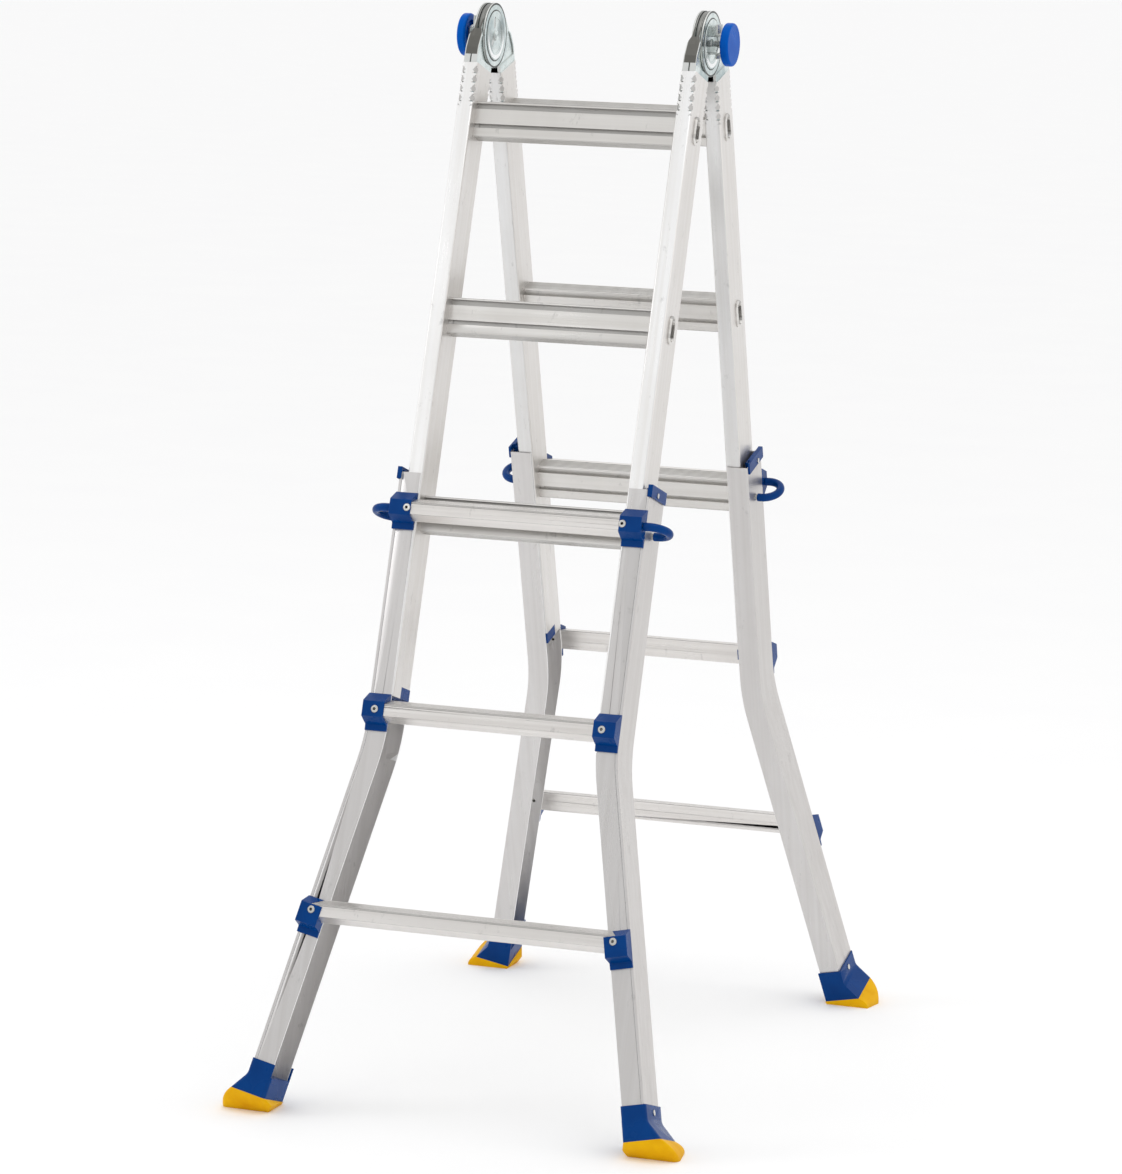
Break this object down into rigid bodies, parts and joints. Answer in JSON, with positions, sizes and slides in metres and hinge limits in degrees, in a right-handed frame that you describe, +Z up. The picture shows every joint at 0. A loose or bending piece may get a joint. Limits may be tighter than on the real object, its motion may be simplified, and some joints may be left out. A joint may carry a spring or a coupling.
{
  "type": "multi position ladder",
  "caption": "Telescopic hinged ladder standing as a stepladder: two inner sections on locking top hinges, with flared outer sections that slide on them and rubber-soled feet.",
  "frame": {"origin": "on the floor, midway between the four feet (centre of the bounding box's bottom face)", "axes": "+X across the ladder to its right seen from the front section, +Y from the front section to the rear section, +Z up"},
  "size_m": [0.6566, 1.0236, 1.4955],
  "materials": {
    "stile_aluminium": "drawn, satin",
    "channel_aluminium": "drawn, satin",
    "rung_aluminium": "extruded, ribbed top, satin",
    "tread_aluminium": "extruded, ribbed top, satin",
    "rivet_steel": "bright plated",
    "sole_rubber": "moulded, matt",
    "blue_plastic": "moulded, semi-gloss",
    "knob_plastic": "moulded, semi-gloss",
    "spring_steel": "drawn wire",
    "rod_steel": "bright zinc",
    "zinc_steel": "zinc plated, duller on the folded cover"
  },
  "bodies": {
    "front_inner": {"front_inner_end_plugs": "blue_plastic", "front_inner_rung_1": "rung_aluminium", "front_inner_rung_2": "rung_aluminium", "front_inner_rung_3": "rung_aluminium", "front_inner_stile_left": "stile_aluminium", "front_inner_stile_right": "stile_aluminium", "hinge_left_front_leaf": "zinc_steel", "hinge_left_pivot": "zinc_steel", "hinge_right_front_leaf": "zinc_steel", "hinge_right_pivot": "zinc_steel"},
    "rear_inner": {"rear_inner_end_plugs": "blue_plastic", "rear_inner_rung_1": "rung_aluminium", "rear_inner_rung_2": "rung_aluminium", "rear_inner_rung_3": "rung_aluminium", "rear_inner_stile_left": "stile_aluminium", "rear_inner_stile_right": "stile_aluminium", "hinge_left_rear_leaf": "zinc_steel", "hinge_right_rear_leaf": "zinc_steel"},
    "front_outer": {"front_guide_clips": "blue_plastic", "front_outer_rung_1": "tread_aluminium", "front_outer_rung_2": "tread_aluminium", "front_outer_rung_3": "tread_aluminium", "front_outer_stile_left": "channel_aluminium", "front_outer_stile_right": "channel_aluminium", "front_rivets": "rivet_steel", "front_rung_brackets_low": "blue_plastic", "front_rung_brackets_middle": "blue_plastic", "front_rung_brackets_top": "blue_plastic", "front_shoes": "blue_plastic", "front_soles": "sole_rubber"},
    "rear_outer": {"rear_guide_clips": "blue_plastic", "rear_outer_rung_1": "tread_aluminium", "rear_outer_rung_2": "tread_aluminium", "rear_outer_rung_3": "tread_aluminium", "rear_outer_stile_left": "channel_aluminium", "rear_outer_stile_right": "channel_aluminium", "rear_rivets": "rivet_steel", "rear_rung_brackets_low": "blue_plastic", "rear_rung_brackets_middle": "blue_plastic", "rear_rung_brackets_top": "blue_plastic", "rear_shoes": "blue_plastic", "rear_soles": "sole_rubber"},
    "left_knob": {"hinge_left_lock_yoke": "rod_steel", "hinge_left_knob": "knob_plastic", "hinge_left_knob_spring": "spring_steel"},
    "right_knob": {"hinge_right_lock_yoke": "rod_steel", "hinge_right_knob": "knob_plastic", "hinge_right_knob_spring": "spring_steel"},
    "front_lock_left": {"front_lock_pin_left": "rod_steel", "front_lock_grip_left": "blue_plastic", "front_lock_spring_left": "spring_steel"},
    "front_lock_right": {"front_lock_pin_right": "rod_steel", "front_lock_grip_right": "blue_plastic", "front_lock_spring_right": "spring_steel"},
    "rear_lock_left": {"rear_lock_pin_left": "rod_steel", "rear_lock_grip_left": "blue_plastic", "rear_lock_spring_left": "spring_steel"},
    "rear_lock_right": {"rear_lock_pin_right": "rod_steel", "rear_lock_grip_right": "blue_plastic", "rear_lock_spring_right": "spring_steel"}
  },
  "joints": [
    {"name": "main_hinge", "type": "hinge", "parent": "front_inner", "child": "rear_inner", "pos_m": [0, 0, 1.45], "axis": [1, 0, 0], "range_deg": [-34.1, 145.6]},
    {"name": "front_slide", "type": "slide", "parent": "front_inner", "child": "front_outer", "axis": [0, 0.2957, 0.9553], "range_m": [0, 0.56]},
    {"name": "rear_slide", "type": "slide", "parent": "rear_inner", "child": "rear_outer", "axis": [0, -0.2957, 0.9553], "range_m": [0, 0.56]},
    {"name": "left_knob_press", "type": "slide", "parent": "front_inner", "child": "left_knob", "axis": [1, 0, 0], "range_m": [0, 0.008], "stiffness_N_per_m": 1500, "deforming": ["hinge_left_knob_spring"]},
    {"name": "right_knob_press", "type": "slide", "parent": "front_inner", "child": "right_knob", "axis": [-1, 0, 0], "range_m": [0, 0.008], "stiffness_N_per_m": 1500, "deforming": ["hinge_right_knob_spring"]},
    {"name": "front_lock_left_pull", "type": "slide", "parent": "front_outer", "child": "front_lock_left", "axis": [-1, 0, 0], "range_m": [0, 0.03], "stiffness_N_per_m": 500, "deforming": ["front_lock_spring_left"]},
    {"name": "front_lock_right_pull", "type": "slide", "parent": "front_outer", "child": "front_lock_right", "axis": [1, 0, 0], "range_m": [0, 0.03], "stiffness_N_per_m": 500, "deforming": ["front_lock_spring_right"]},
    {"name": "rear_lock_left_pull", "type": "slide", "parent": "rear_outer", "child": "rear_lock_left", "axis": [-1, 0, 0], "range_m": [0, 0.03], "stiffness_N_per_m": 500, "deforming": ["rear_lock_spring_left"]},
    {"name": "rear_lock_right_pull", "type": "slide", "parent": "rear_outer", "child": "rear_lock_right", "axis": [1, 0, 0], "range_m": [0, 0.03], "stiffness_N_per_m": 500, "deforming": ["rear_lock_spring_right"]}
  ]
}
